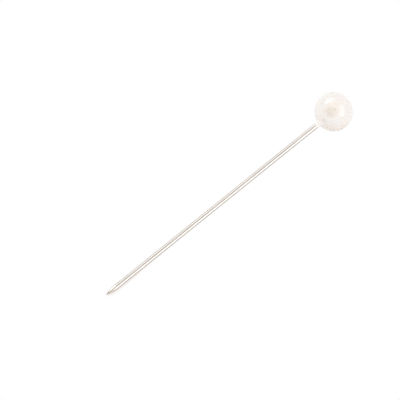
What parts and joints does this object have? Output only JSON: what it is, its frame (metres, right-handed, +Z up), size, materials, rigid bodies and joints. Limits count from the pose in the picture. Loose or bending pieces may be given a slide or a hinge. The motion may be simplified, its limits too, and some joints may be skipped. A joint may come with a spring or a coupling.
{
  "type": "hat pin",
  "caption": "Straight hat pin lying at rest: a pearl-like ball head glued on a polished wire shaft with a short, slightly rounded ground point.",
  "frame": {"origin": "centre of the bottom of the bounding box, on the surface that the pin lies on", "axes": "+X from the point towards the head along the surface, +Z up from the surface"},
  "size_m": [0.0648, 0.008, 0.008],
  "materials": {
    "nickel_steel": "polished",
    "bead_plastic": "satin",
    "clear_glue": "gloss",
    "pearl_lacquer": "gloss"
  },
  "bodies": {
    "root": {"pin_shaft": "nickel_steel", "bead_core": "bead_plastic", "glue_fill": "clear_glue", "pearl_coating": "pearl_lacquer"}
  },
  "joints": []
}
